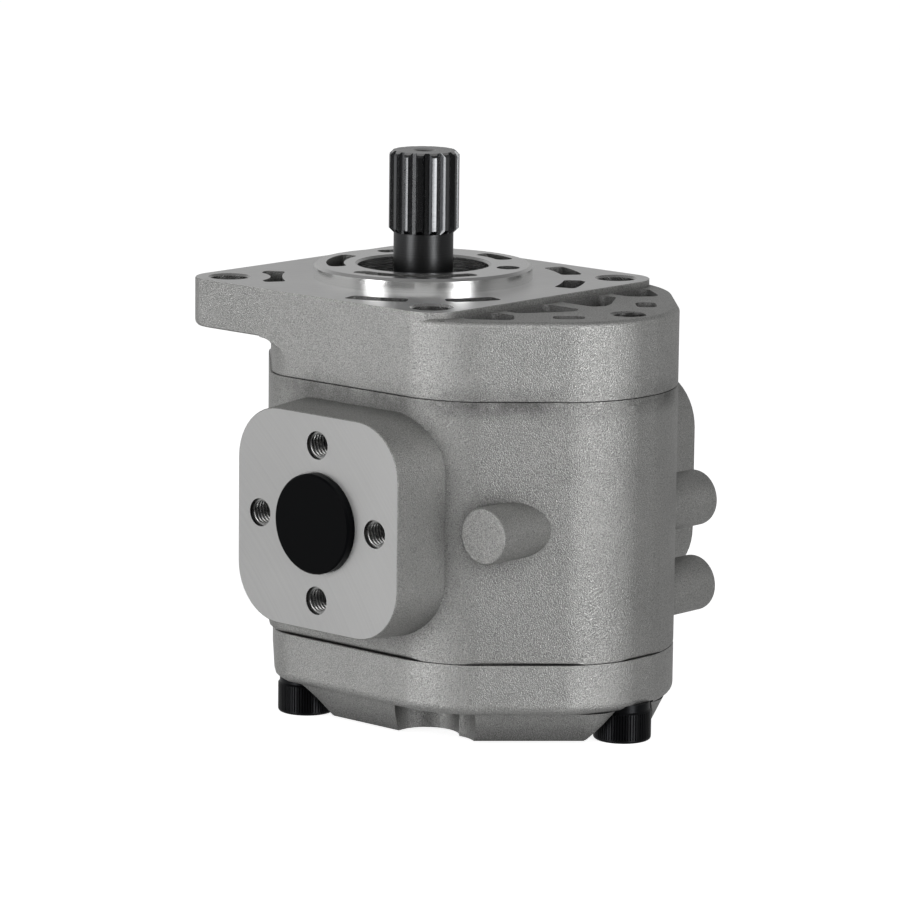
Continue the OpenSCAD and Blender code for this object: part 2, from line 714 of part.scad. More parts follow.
// Bearing block whose gear side is at z0 and whose cover side is at z1
module bearing_block(gear_side, cover_side) {
    low = min(gear_side, cover_side);
    high = max(gear_side, cover_side);
    color(block_aluminium) difference() {
        slab(low, high) twin_discs(block_r);
        for (a = axes) translate(a) round_bar(bush_r2 + seat_gap, low - overlap, high + overlap);
        slab(cover_side - press_depth, cover_side + press_depth) three_outline(press_r, press_r + press_w);
        for (s = [-1, 1]) translate([middle, s * relief_at, gear_side])
            cube([relief_size.x, relief_size.y, 2 * relief_size.z], center = true);
    }
}

module front_bearing_block() {
    bearing_block(gear_top + face_clearance, seam_front - face_clearance);
}

module rear_bearing_block() {
    bearing_block(gear_bottom - face_clearance, seam_rear + face_clearance);
}

// Bush in a bearing block, held back a little from both of the block's faces
module bush(axis, low, high) {
    back = 0.4;
    c = 0.5;
    z0 = low + back;
    z1 = high - back;
    color(bush_bronze) translate(axis)
        turned([[bush_r1 + c, z0], [bush_r2, z0], [bush_r2, z1], [bush_r1 + c, z1],
            [bush_r1, z1 - c], [bush_r1, z0 + c]]);
}

module drive_front_bush() {
    bush(axes[0], gear_top + face_clearance, seam_front - face_clearance);
}

module drive_rear_bush() {
    bush(axes[0], seam_rear + face_clearance, gear_bottom - face_clearance);
}

module driven_front_bush() {
    bush(axes[1], gear_top + face_clearance, seam_front - face_clearance);
}

module driven_rear_bush() {
    bush(axes[1], seam_rear + face_clearance, gear_bottom - face_clearance);
}

// Rubber seal and its backup strip, in the groove of a bearing block
module pressure_seal(z0, z1) {
    color(seal_rubber) slab(z0, z1) three_outline(press_r + groove_gap, strip_r - groove_gap);
}

module backup_strip(z0, z1) {
    color(strip_plastic) slab(z0, z1)
        three_outline(strip_r - groove_gap + seat_gap, press_r + press_w - groove_gap);
}

module front_pressure_seal() {
    pressure_seal(seam_front - face_clearance - press_depth + seat_gap, seam_front - seat_gap);
}

module front_backup_strip() {
    backup_strip(seam_front - face_clearance - press_depth + seat_gap, seam_front - seat_gap);
}

module rear_pressure_seal() {
    pressure_seal(seam_rear + seat_gap, seam_rear + face_clearance + press_depth - seat_gap);
}

module rear_backup_strip() {
    backup_strip(seam_rear + seat_gap, seam_rear + face_clearance + press_depth - seat_gap);
}

module shaft_seal_case() {
    color(pin_steel)
        turned([[case_hole_r, seal_top - seal_case_t], [case_hole_r, seal_top], [case_r, seal_top],
            [case_r, seal_bottom + seat_gap], [case_r - seal_case_t, seal_bottom + seat_gap],
            [case_r - seal_case_t, seal_top - seal_case_t]]);
}

module shaft_seal_lip() {
    color(seal_rubber)
        turned([[case_hole_r - seat_gap, seal_top], [lip_r + 0.9, seal_top], [lip_r, seal_top - 0.7],
            [lip_r + 1.1, seal_top - 1.9], [lip_r + 1.1, lip_z + 1.8], [lip_r, lip_z],
            [lip_r + 1.4, lip_z - 1.8], [lip_r + 3.4, lip_z - 1.8], [lip_r + 3.4, lip_z - 1.2],
            [garter_seat_r, lip_z - 0.4], [garter_seat_r, lip_z + 0.4], [lip_r + 3.2, lip_z + 1],
            [garter_seat_r, lip_z + 1.6], [lip_r + 2.4, seal_top - 1.9],
            [case_hole_r - seat_gap, seal_top - seal_case_t]]);
}

module seal_garter_spring() {
    color(pin_steel) translate([0, 0, lip_z])
        rotate_extrude($fn = 96)
            translate([garter_seat_r + garter_r + seat_gap, 0]) circle(garter_r, $fn = 24);
}

module seal_retaining_ring() {
    r2 = seal_bore_d / 2 + ring_groove - seat_gap;
    r1 = r2 - ring_w;
    gap = [164, 176];
    hole_turn = 6;
    color(black_oxide) difference() {
        slab(ring_bottom, ring_top) difference() {
            circle(r2, $fn = 96);
            circle(r1, $fn = 96);
            polygon([[0, 0], polar(2 * r2, gap[0]), polar(2 * r2, gap[1])]);
        }
        for (a = [gap[0] - hole_turn, gap[1] + hole_turn]) rotate(a) translate([(r1 + r2) / 2 - 0.4, 0, 0])
            round_bar(ring_hole_r, ring_bottom - overlap, ring_top + overlap);
    }
}

module dowel_pins() {
    c = 0.8;
    r = dowel_d / 2;
    end = dowel_l / 2;
    color(pin_steel) for (seam = [seam_front, seam_rear]) for (d = dowels) translate([d.x, d.y, seam])
        turned([[0, -end], [r - c, -end], [r, c - end], [r, end - c], [r - c, end], [0, end]]);
}

// Cap screw whose thread ends at a height
module cap_screw(thread_end) {
    seat = rim_back + spot_depth;
    end = seat - head_h;
    neck = seam_front - 3;
    thread_r = screw_root_d / 2 - seat_gap;
    edge_r = 1;
    difference() {
        turned(concat([[0, end]],
            arc([head_d / 2 - edge_r, end + edge_r], edge_r, -90, 0, fillet_steps),
            [[head_d / 2, seat - collar_h - lip_round], [collar_d / 2, seat - collar_h], [collar_d / 2, seat],
                [screw_d / 2, seat], [screw_d / 2, neck], [thread_r, neck + 1],
                [thread_r, thread_end - 1], [thread_r - 1, thread_end], [0, thread_end]]));
        translate([0, 0, end - overlap])
            cylinder(r = socket_w / 2 / cos(30), h = socket_depth + overlap, $fn = 6);
    }
}

module cap_screws() {
    color(black_oxide) {
        for (s = screws) translate(s) cap_screw(-screw_stop);
    }
}

// Transit plug with a hollow stem, its head against the port's face
module plug(bore_d) {
    r = bore_d / 2 - plug_clearance;
    seat = port_reach - port_seat_depth;
    end = seat - plug_stem_l;
    face = seat + plug_t;
    color(plug_plastic) turned([[0, seat - plug_wall], [r - plug_wall, seat - plug_wall],
        [r - plug_wall, end], [r - 0.8, end], [r, end + 1.6], [r, seat], [plug_d / 2, seat],
        [plug_d / 2, face - lip_round], [plug_d / 2 - lip_round, face], [0, face]]);
}

module inlet_plug() {
    at_port(-1) plug(inlet_d);
}

module outlet_plug() {
    at_port(1) plug(outlet_d);
}

front_cover();
gear_housing();
rear_cover();
drive_gear_shaft();
driven_gear_shaft();
front_bearing_block();
rear_bearing_block();
drive_front_bush();
drive_rear_bush();
driven_front_bush();
driven_rear_bush();
front_pressure_seal();
front_backup_strip();
rear_pressure_seal();
rear_backup_strip();
front_housing_seal();
rear_housing_seal();
shaft_seal_case();
shaft_seal_lip();
seal_garter_spring();
seal_retaining_ring();
dowel_pins();
cap_screws();
inlet_plug();
outlet_plug();
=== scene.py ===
# Hydraulic gear pump, standing shaft up on its screw heads.
import math

import bpy
from mathutils import Matrix, Vector


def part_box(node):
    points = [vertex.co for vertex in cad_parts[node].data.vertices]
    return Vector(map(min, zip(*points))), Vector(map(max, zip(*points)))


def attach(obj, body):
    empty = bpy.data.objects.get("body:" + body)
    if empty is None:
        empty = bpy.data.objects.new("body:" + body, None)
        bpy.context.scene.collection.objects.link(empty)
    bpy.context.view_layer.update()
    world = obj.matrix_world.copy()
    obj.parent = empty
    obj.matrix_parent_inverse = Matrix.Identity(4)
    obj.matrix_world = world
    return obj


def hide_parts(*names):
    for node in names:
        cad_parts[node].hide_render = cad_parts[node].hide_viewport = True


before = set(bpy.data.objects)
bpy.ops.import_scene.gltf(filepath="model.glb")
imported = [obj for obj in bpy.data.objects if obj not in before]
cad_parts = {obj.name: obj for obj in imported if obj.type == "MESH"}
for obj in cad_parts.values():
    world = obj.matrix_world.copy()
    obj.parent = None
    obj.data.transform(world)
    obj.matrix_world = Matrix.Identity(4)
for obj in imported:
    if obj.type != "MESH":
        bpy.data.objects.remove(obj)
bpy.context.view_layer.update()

# Camera
# It looks at the corner between the inlet side and the casing's far end, from a little above,
# through a long lens, as the photograph does.
camera_turn = math.radians(42.21)
camera_rise = math.radians(10.51)
camera_roll = math.radians(0.65)
camera_distance = 1.891
camera_lens = 205.6
sight_right_of_axis = 0.01056
sight_height = -0.06418

towards_camera = Vector((
    math.sin(camera_turn) * math.cos(camera_rise),
    -math.cos(camera_turn) * math.cos(camera_rise),
    math.sin(camera_rise)))
level_right = Vector((math.cos(camera_turn), math.sin(camera_turn), 0))
level_up = towards_camera.cross(level_right)
camera_right = math.cos(camera_roll) * level_right + math.sin(camera_roll) * level_up
camera_up = math.cos(camera_roll) * level_up - math.sin(camera_roll) * level_right
sight = sight_right_of_axis * level_right + Vector((0, 0, sight_height))

bpy.ops.object.camera_add()
camera = bpy.context.object
camera.name = "photo_camera"
camera.matrix_world = Matrix.Translation(sight + camera_distance * towards_camera) @ Matrix(
    (camera_right, camera_up, towards_camera)).transposed().to_4x4()
camera.data.lens = camera_lens
camera.data.sensor_width = 36
camera.data.clip_start = 0.05
camera.data.clip_end = 30
bpy.context.scene.camera = camera

# Front cover
# The square mounting flange, the pilot and the shaft seal's housing are one aluminium die casting,
# shot-blasted, then milled on its flange, turned on its pilot, drilled, and tapped M14 at its far end.
millimetre = 0.001


def shader_node(tree, kind, inputs=None, **settings):
    """A node in a material or a group, with its settings and the values or links of its inputs."""
    made = tree.nodes.new(kind)
    for name, value in settings.items():
        setattr(made, name, value)
    for name, value in (inputs or {}).items():
        socket = made.inputs[name]
        if isinstance(value, bpy.types.NodeSocket):
            tree.links.new(value, socket)
        else:
            socket.default_value = value
    return made


def marks_group(name, inputs):
    """An empty group of surface marks with named inputs, which puts out a shade and a height."""
    tree = bpy.data.node_groups.new(name, "ShaderNodeTree")
    for label, value in inputs.items():
        kind = "NodeSocketVector" if isinstance(value, tuple) else "NodeSocketFloat"
        socket = tree.interface.new_socket(label, in_out="INPUT", socket_type=kind)
        socket.default_value = value
    for label in ("Shade", "Height"):
        tree.interface.new_socket(label, in_out="OUTPUT", socket_type="NodeSocketFloat")
    return tree, tree.nodes.new("NodeGroupInput").outputs, tree.nodes.new("NodeGroupOutput").inputs


def swing(tree, value, amount, base):
    """The base, raised or lowered as a value in 0..1 leaves its middle."""
    centred = shader_node(tree, "ShaderNodeMath", {0: value, 1: 0.5}, operation="SUBTRACT")
    return shader_node(tree, "ShaderNodeMath", {
        0: centred.outputs[0], 1: amount, 2: base}, operation="MULTIPLY_ADD").outputs[0]


def ramp(tree, value, start, end, low, high):
    """A smooth change from low to high while a value goes from start to end."""
    return shader_node(tree, "ShaderNodeMapRange", {
        "Value": value, "From Min": start, "From Max": end, "To Min": low, "To Max": high},
        interpolation_type="SMOOTHSTEP").outputs[0]


def blasted_grain():
    """Fine pits and bright facets that shot leaves on a casting, over faint broad blotches.

    Patches in a band on both sides of a seam are made darker."""
    seam_band_width = 9 * millimetre
    tree, given, result = marks_group(
        "blasted_grain", {"Grain": 1900.0, "Contrast": 0.5, "Blotches": 0.1, "Seam": 0.0, "SeamDarkening": 0.0})
    place = shader_node(tree, "ShaderNodeTexCoord").outputs["Object"]
    fine = shader_node(tree, "ShaderNodeTexNoise", {
        "Vector": place, "Scale": given["Grain"], "Detail": 1.0, "Roughness": 0.5})
    broad = shader_node(tree, "ShaderNodeTexNoise", {"Vector": place, "Scale": 60.0, "Detail": 3.0})
    speckled = swing(tree, fine.outputs["Fac"], given["Contrast"], 1.0)
    blotched = swing(tree, broad.outputs["Fac"], given["Blotches"], speckled)
    height = shader_node(tree, "ShaderNodeSeparateXYZ", {0: place}).outputs["Z"]
    above_seam = shader_node(tree, "ShaderNodeMath", {0: height, 1: given["Seam"]}, operation="SUBTRACT")
    from_seam = shader_node(tree, "ShaderNodeMath", {0: above_seam.outputs[0]}, operation="ABSOLUTE")
    patches = shader_node(tree, "ShaderNodeTexNoise", {
        "Vector": place, "Scale": 30.0, "Detail": 8.0, "Roughness": 0.7})
    # Darker in broken patches within a band on both sides of the seam.
    near = ramp(tree, from_seam.outputs[0], 0.0, seam_band_width, given["SeamDarkening"], 0.0)
    seam_darkening = shader_node(tree, "ShaderNodeMath", {
        0: near, 1: ramp(tree, patches.outputs["Fac"], 0.4, 0.68, 0.0, 1.0)}, operation="MULTIPLY")
    undarkened = shader_node(tree, "ShaderNodeMath", {0: 1.0, 1: seam_darkening.outputs[0]}, operation="SUBTRACT")
    shade = shader_node(tree, "ShaderNodeMath", {0: blotched, 1: undarkened.outputs[0]}, operation="MULTIPLY")
    tree.links.new(shade.outputs[0], result["Shade"])
    tree.links.new(fine.outputs["Fac"], result["Height"])
    return tree


def turning_rings():
    """Fine rings that a lathe tool or a drill leaves about an upright axis."""
    tree, given, result = marks_group(
        "turning_rings", {"Axis": (0.0, 0.0, 0.0), "Rings": 4000.0, "Contrast": 0.2})
    place = shader_node(tree, "ShaderNodeTexCoord").outputs["Object"]
    local = shader_node(tree, "ShaderNodeVectorMath", {0: place, 1: given["Axis"]}, operation="SUBTRACT")
    parts = shader_node(tree, "ShaderNodeSeparateXYZ", {0: local.outputs[0]}).outputs
    flat = shader_node(tree, "ShaderNodeCombineXYZ", {0: parts[0], 1: parts[1]})
    radius = shader_node(tree, "ShaderNodeVectorMath", {0: flat.outputs[0]}, operation="LENGTH")
    along = shader_node(tree, "ShaderNodeMath", {0: radius.outputs["Value"], 1: parts[2]}, operation="ADD")
    rings = shader_node(tree, "ShaderNodeTexNoise", {
        "W": along.outputs[0], "Scale": given["Rings"], "Detail": 2.0, "Roughness": 0.6},
        noise_dimensions="1D")
    tree.links.new(swing(tree, rings.outputs["Fac"], given["Contrast"], 1.0), result["Shade"])
    tree.links.new(rings.outputs["Fac"], result["Height"])
    return tree


def milling_arcs():
    """Wide faint arcs that a face mill leaves as it sweeps past a centre."""
    tree, given, result = marks_group(
        "milling_arcs", {"Centre": (0.0, 0.0, 0.0), "Arcs": 900.0, "Contrast": 0.1})
    place = shader_node(tree, "ShaderNodeTexCoord").outputs["Object"]
    radius = shader_node(tree, "ShaderNodeVectorMath", {0: place, 1: given["Centre"]}, operation="DISTANCE")
    arcs = shader_node(tree, "ShaderNodeTexNoise", {
        "W": radius.outputs["Value"], "Scale": given["Arcs"], "Detail": 4.0, "Roughness": 0.7},
        noise_dimensions="1D")
    patches = shader_node(tree, "ShaderNodeTexNoise", {"Vector": place, "Scale": 35.0, "Detail": 2.0})
    marked = swing(tree, arcs.outputs["Fac"], given["Contrast"], 1.0)
    tree.links.new(swing(tree, patches.outputs["Fac"], given["Contrast"], marked), result["Shade"])
    tree.links.new(arcs.outputs["Fac"], result["Height"])
    return tree


grain_nodes = blasted_grain()
ring_nodes = turning_rings()
arc_nodes = milling_arcs()


def finish(name, colour, metallic, roughness, marks, values, bump, rough_swing=0.0, gloss=0.5, shade=0.0):
    """A material whose colour, roughness and relief follow one kind of surface marks.

    Where shade is given, painted shade darkens the colour in cavities found by ambient occlusion: shade says
    how much darker the bottom of a cavity is painted than an open face."""
    made = bpy.data.materials.new(name)
    made.use_nodes = True
    tree = made.node_tree
    surface = tree.nodes["Principled BSDF"]
    surface.inputs["Metallic"].default_value = metallic
    surface.inputs["Specular IOR Level"].default_value = gloss
    group = shader_node(tree, "ShaderNodeGroup", node_tree=marks)
    for label, value in values.items():
        group.inputs[label].default_value = value
    tint = shader_node(
        tree, "ShaderNodeVectorMath", {0: colour, 1: group.outputs["Shade"]}, operation="MULTIPLY")
    colour_link = tint.outputs[0]
    # Painted shade: an ambient occlusion node darkens the base colour in cavities and recesses.
    if shade:
        cavity_reach = 14 * millimetre
        cavity = shader_node(tree, "ShaderNodeAmbientOcclusion", {"Distance": cavity_reach})
        painted_shade_factor = shader_node(tree, "ShaderNodeMapRange", {
            "Value": cavity.outputs["AO"], "From Min": 0.25, "From Max": 0.9,
            "To Min": 1 - shade, "To Max": 1})
        colour_with_painted_shade = shader_node(
            tree, "ShaderNodeVectorMath", {0: colour_link, 1: painted_shade_factor.outputs[0]}, operation="MULTIPLY")
        colour_link = colour_with_painted_shade.outputs[0]
    tree.links.new(colour_link, surface.inputs["Base Color"])
    rough = shader_node(tree, "ShaderNodeMapRange", {
        "Value": group.outputs["Height"], "From Min": 0.25, "From Max": 0.75,
        "To Min": roughness + rough_swing, "To Max": roughness - rough_swing})
    tree.links.new(rough.outputs[0], surface.inputs["Roughness"])
    relief = shader_node(tree, "ShaderNodeBump", {
        "Height": group.outputs["Height"], "Distance": bump * millimetre, "Strength": 1.0})
    tree.links.new(relief.outputs[0], surface.inputs["Normal"])
    return made


# The cast skins get painted shade in their cavities, and darker patches along the front seam.
cast_skin = finish(
    "cast_skin", (0.485, 0.485, 0.475), metallic=0.8, roughness=0.47, marks=grain_nodes,
    values={"Grain": 2600.0, "Contrast": 1.5, "Blotches": 0.2, "Seam": -0.0307, "SeamDarkening": 0.35},
    bump=0.22, rough_swing=0.12, shade=0.65)
milled_flange = finish(
    "milled_flange", (0.92, 0.92, 0.915), metallic=0.9, roughness=0.36, marks=arc_nodes,
    values={"Centre": (-0.25, 0.05, 0.0), "Arcs": 900.0, "Contrast": 0.18},
    bump=0.003, rough_swing=0.05)
turned_pilot = finish(
    "turned_pilot", (0.85, 0.85, 0.845), metallic=1.0, roughness=0.2, marks=ring_nodes,
    values={"Axis": (0.0, 0.0, 0.0), "Rings": 3000.0, "Contrast": 0.12},
    bump=0.005, rough_swing=0.05)
bored_hole = finish(
    "bored_hole", (0.62, 0.62, 0.615), metallic=1.0, roughness=0.24, marks=ring_nodes,
    values={"Axis": (0.0, 0.0, 0.0), "Rings": 2500.0, "Contrast": 0.25},
    bump=0.003, rough_swing=0.06)
# Painted shade: the cored pockets get a darker colour than the open cast skin, for the shade that falls in
# them, and stronger cavity darkening.
pocket_painted_shade = finish(
    "pocket_painted_shade", (0.26, 0.26, 0.255), metallic=0.8, roughness=0.55, marks=grain_nodes,
    values={"Grain": 2600.0, "Contrast": 1.5, "Blotches": 0.2},
    bump=0.35, rough_swing=0.12, shade=0.7)
cut_thread = finish(
    "cut_thread", (0.45, 0.45, 0.445), metallic=1.0, roughness=0.3, marks=grain_nodes,
    values={"Grain": 1500.0, "Contrast": 0.3, "Blotches": 0.1},
    bump=0.01, rough_swing=0.05)


def select_only(piece):
    """Makes one piece the selected and active one."""
    bpy.ops.object.select_all(action="DESELECT")
    piece.select_set(True)
    bpy.context.view_layer.objects.active = piece


def apply_modifier(piece, kind, **settings):
    """Adds a modifier with its settings and applies it at once."""
    select_only(piece)
    bpy.ops.object.modifier_add(type=kind)
    modifier = piece.modifiers[-1]
    for name, value in settings.items():
        setattr(modifier, name, value)
    bpy.ops.object.modifier_apply(modifier=modifier.name)


def dressed_copy(node, name):
    """A visual copy of a solid, with its loose triangles merged into one skin."""
    same_point = 0.002 * millimetre
    made = bpy.data.objects.new(name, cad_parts[node].data.copy())
    bpy.context.scene.collection.objects.link(made)
    made.data.materials.clear()
    select_only(made)
    bpy.ops.mesh.customdata_custom_splitnormals_clear()
    bpy.ops.object.mode_set(mode="EDIT")
    bpy.ops.mesh.select_all(action="SELECT")
    bpy.ops.mesh.remove_doubles(threshold=same_point)
    bpy.ops.object.mode_set(mode="OBJECT")
    join_flats(made)
    return made


def join_flats(piece):
    """Merges the triangles of each flat face, so that shading follows the real faces."""
    select_only(piece)
    bpy.ops.object.mode_set(mode="EDIT")
    bpy.ops.mesh.select_all(action="SELECT")
    bpy.ops.mesh.dissolve_limited(angle_limit=math.radians(0.2), use_dissolve_boundaries=False)
    bpy.ops.object.mode_set(mode="OBJECT")


def smooth_skin(piece, angle=33):
    """Smooth shading that keeps flat faces flat and edges crisp."""
    select_only(piece)
    bpy.ops.object.shade_smooth_by_angle(angle=math.radians(angle))
    apply_modifier(piece, "WEIGHTED_NORMAL", keep_sharp=True, mode="FACE_AREA", weight=90)


def paint_faces(piece, finishes):
    """Gives each face the first finish whose test it meets; the last finish has no test."""
    piece.data.materials.clear()
    for material, _ in finishes:
        piece.data.materials.append(material)
    for face in piece.data.polygons:
        place = face.center / millimetre
        for number, (_, test) in enumerate(finishes):
            if test is None or test(place, face.normal):
                face.material_index = number
                break


def round_edges(piece, radius, steps, test):
    """Rounds the sharp edges whose two ends meet a test."""
    select_only(piece)
    bpy.ops.object.mode_set(mode="EDIT")
    bpy.ops.mesh.select_mode(type="EDGE")
    bpy.ops.mesh.select_all(action="DESELECT")
    bpy.ops.mesh.edges_select_sharp(sharpness=math.radians(25))
    bpy.ops.object.mode_set(mode="OBJECT")
    for edge in piece.data.edges:
        ends = [piece.data.vertices[end].co / millimetre for end in edge.vertices]
        edge.select = edge.select and all(test(end) for end in ends)
    bpy.ops.object.mode_set(mode="EDIT")
    bpy.ops.mesh.bevel(offset=radius * millimetre, segments=steps, clamp_overlap=True)
    bpy.ops.mesh.select_mode(type="VERT")
    bpy.ops.object.mode_set(mode="OBJECT")


def fit_piece(piece, node, body, finishes, angle=33):
    """Paints and smooths a dressed copy, and puts it in the place of its solid."""
    paint_faces(piece, finishes)
    smooth_skin(piece, angle)
    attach(piece, body)
    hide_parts(node)


def bevel_where(piece, width, steps, test):
    """Bevels the edges whose two ends meet a test, given in millimetres."""
    select_only(piece)
    bpy.ops.object.mode_set(mode="EDIT")
    bpy.ops.mesh.select_mode(type="EDGE")
    bpy.ops.mesh.select_all(action="DESELECT")
    bpy.ops.object.mode_set(mode="OBJECT")
    for edge in piece.data.edges:
        first, second = [piece.data.vertices[end].co / millimetre for end in edge.vertices]
        edge.select = test(first, second)
    bpy.ops.object.mode_set(mode="EDIT")
    bpy.ops.mesh.bevel(offset=width * millimetre, segments=steps, clamp_overlap=True)
    bpy.ops.mesh.select_mode(type="VERT")
    bpy.ops.object.mode_set(mode="OBJECT")


def upright(first, second):
    """Whether an edge stands upright."""
    return abs(first.z - second.z) > 5


def block(low, high):
    """A box between two corners, in millimetres, with its place in its mesh."""
    bpy.ops.object.select_all(action="DESELECT")
    bpy.ops.mesh.primitive_cube_add(size=1, location=(0, 0, 0))
    made = bpy.context.object
    bpy.ops.object.mode_set(mode="EDIT")
    bpy.ops.transform.resize(
        value=[(b - a) * millimetre for a, b in zip(low, high)], center_override=(0, 0, 0))
    bpy.ops.transform.translate(value=[(a + b) / 2 * millimetre for a, b in zip(low, high)])
    bpy.ops.object.mode_set(mode="OBJECT")
    return made


def far_upright(first, second):
    """Whether an edge stands upright beyond the shafts."""
    return upright(first, second) and first.x > 60


casing_near_end = -64
casing_far_end = 108
casing_half_width = 62
slant_width = 42.94
wide_corner_r = 38
clearance = 0.01


def casing_block(low_z, high_z, grow=0, corner_r=wide_corner_r):
    """The casing's eight-sided outline, widely rounded at its far end, between two heights."""
    reach = clearance + grow
    half = casing_half_width + reach
    made = block((casing_near_end, -half, low_z), (casing_far_end + reach, half, high_z))
    bevel_where(made, slant_width + (2 - math.sqrt(2)) * reach, 1, upright)
    bevel_where(made, corner_r * math.tan(math.radians(22.5)), 14, far_upright)
    return made


def cut_away(piece, tools, operation="DIFFERENCE"):
    """Joins, cuts or crosses a piece with each tool in turn, and removes the tools."""
    for tool in tools:
        apply_modifier(piece, "BOOLEAN", operation=operation, object=tool, solver="EXACT")
        bpy.data.objects.remove(tool)


def tap_holes(piece, holes, minor, major, pitch, length):
    """Cuts a thread into each hole, given by its mouth's centre and the way out of it."""
    overlap = 0.2
    root_share = 0.86
    crest_share = 0.15
    turn_steps = 28
    taps = []
    for mouth, outwards in holes:
        bpy.ops.object.select_all(action="DESELECT")
        bpy.ops.mesh.primitive_plane_add(size=1, location=(0, 0, 0))
        tap = bpy.context.object
        bpy.ops.object.mode_set(mode="EDIT")
        bpy.ops.transform.rotate(value=-math.pi / 2, orient_axis="X", center_override=(0, 0, 0))
        bpy.ops.transform.resize(
            value=((major - minor + overlap) * millimetre, 1, root_share * pitch * millimetre),
            center_override=(0, 0, 0))
        bpy.ops.transform.translate(value=((major + minor - overlap) / 2 * millimetre, 0, 0))
        bpy.ops.mesh.select_all(action="DESELECT")
        bpy.ops.object.mode_set(mode="OBJECT")
        for vertex in tap.data.vertices:
            vertex.select = vertex.co.x > (major - 0.01) * millimetre
        for edge in tap.data.edges:
            edge.select = all(tap.data.vertices[end].select for end in edge.vertices)
        bpy.ops.object.mode_set(mode="EDIT")
        bpy.ops.transform.resize(value=(1, 1, crest_share), center_override=(major * millimetre, 0, 0))
        bpy.ops.object.mode_set(mode="OBJECT")
        apply_modifier(
            tap, "SCREW", axis="Z", steps=turn_steps, render_steps=turn_steps,
            iterations=int(length / pitch), screw_offset=-pitch * millimetre, use_merge_vertices=False)
        bpy.ops.object.mode_set(mode="EDIT")
        bpy.ops.mesh.select_all(action="DESELECT")
        bpy.ops.mesh.select_non_manifold()
        bpy.ops.mesh.edge_face_add()
        bpy.ops.mesh.select_all(action="SELECT")
        bpy.ops.mesh.normals_make_consistent(inside=False)
        bpy.ops.object.mode_set(mode="OBJECT")
        tap.rotation_euler = Vector(outwards).to_track_quat("Z", "Y").to_euler()
        tap.location = Vector(mouth) * millimetre + Vector(outwards) * pitch * millimetre
        taps.append(tap)
    bpy.ops.object.select_all(action="DESELECT")
    for tap in taps:
        tap.select_set(True)
    bpy.context.view_layer.objects.active = taps[0]
    bpy.ops.object.transform_apply(location=True, rotation=True, scale=True)
    bpy.ops.object.join()
    apply_modifier(piece, "BOOLEAN", operation="DIFFERENCE", object=taps[0], solver="EXACT")
    bpy.data.objects.remove(taps[0])


def off_axis(place, x, y):
    """Distance of a place from an upright axis."""
    return math.hypot(place.x - x, place.y - y)


mounting_holes = [(x, y) for x in (-50, 50) for y in (-50, 50)]
mounting_hole_reach = 7.9
tapped_end_hole = (99, 0)
end_hole_reach = 7.4
pilot_r = 40
pilot_top = 5.1
pilot_edge = 1.2
pilot_foot_r = 0.9
seal_bore_reach = 26
front_seam_z = -30.7
seam_edge_r = 0.5
step_z = -2.4
step_edge_r = 2
flange_z = -17.8
flange_half_width = 62.55
flange_corner_r = 12.3
flush_half_width = 62.02
flange_overhang_end = 40
above_pilot = 12
pocket_limit = 62.5
pocket_floor = -28
clear_of_corners = 58


def in_end_hole(place, normal):
    """The wall of the tapped hole beyond the flange."""
    return off_axis(place, *tapped_end_hole) < end_hole_reach and abs(normal.z) < 0.95


def on_pilot(place, normal):
    """The pilot's turned side, edge and top."""
    r = off_axis(place, 0, 0)
    on_top = r < pilot_r + 0.1 and normal.z > 0.6 and place.z > pilot_top
    return place.z > 0.02 and (r > pilot_r - pilot_edge or on_top)


def in_bore(place, normal):
    """The shaft seal's bore and the walls of the mounting holes."""
    if off_axis(place, 0, 0) < seal_bore_reach and place.z > front_seam_z - 0.3:
        return True
    in_hole = any(off_axis(place, x, y) < mounting_hole_reach for x, y in mounting_holes)
    return in_hole and abs(normal.z) < 0.95


def on_milled_flange(place, normal):
    """The flange's mounting face, and the cover's face at the seam."""
    return abs(place.z) < 0.05 and normal.z > 0.9 or place.z < front_seam_z + clearance


def in_pocket(place, normal):
    """The walls and floors of the cored pockets, inside the casing's outline."""
    from_end_gear = abs(place.x - 49) + abs(place.y)
    outermost = max(abs(place.y) + 4, from_end_gear / math.sqrt(2) + 11.5, place.x - 41.5)
    behind_flange = place.z < step_z - 0.1
    within_flange = place.z < -0.1 and max(abs(place.x), abs(place.y)) < clear_of_corners
    return (outermost < pocket_limit and off_axis(place, 0, 0) > seal_bore_reach
            and place.z > pocket_floor and (behind_flange or within_flange))


front_cover = dressed_copy("front_cover", "front_cover_casting")
front_form = casing_block(front_seam_z - clearance, step_z)
bevel_where(front_form, seam_edge_r, 2, lambda first, second: max(first.z, second.z) < front_seam_z)
bevel_where(
    front_form, step_edge_r, 5, lambda first, second: min(first.z, second.z) > step_z - clearance)
flange_form = block(
    (casing_near_end, -flush_half_width, flange_z), (flange_half_width, flush_half_width, above_pilot))
bevel_where(flange_form, flange_corner_r, 8, far_upright)
near_form = block(
    (casing_near_end + 1, -flush_half_width, front_seam_z - 1.3),
    (flange_overhang_end, flush_half_width, above_pilot - 1))
cut_away(front_form, [flange_form, near_form], "UNION")
cut_away(front_cover, [front_form], "INTERSECT")
tap_holes(
    front_cover, [((*tapped_end_hole, step_z), (0, 0, 1))], minor=5.9, major=7.0, pitch=2.0, length=12)
round_edges(
    front_cover, pilot_foot_r, 3,
    lambda end: abs(end.z) < 0.01 and abs(off_axis(end, 0, 0) - pilot_r) < 0.1)
fit_piece(front_cover, "front_cover", "housing", [
    (cut_thread, in_end_hole), (turned_pilot, on_pilot), (bored_hole, in_bore),
    (milled_flange, on_milled_flange), (pocket_painted_shade, in_pocket), (cast_skin, None)])

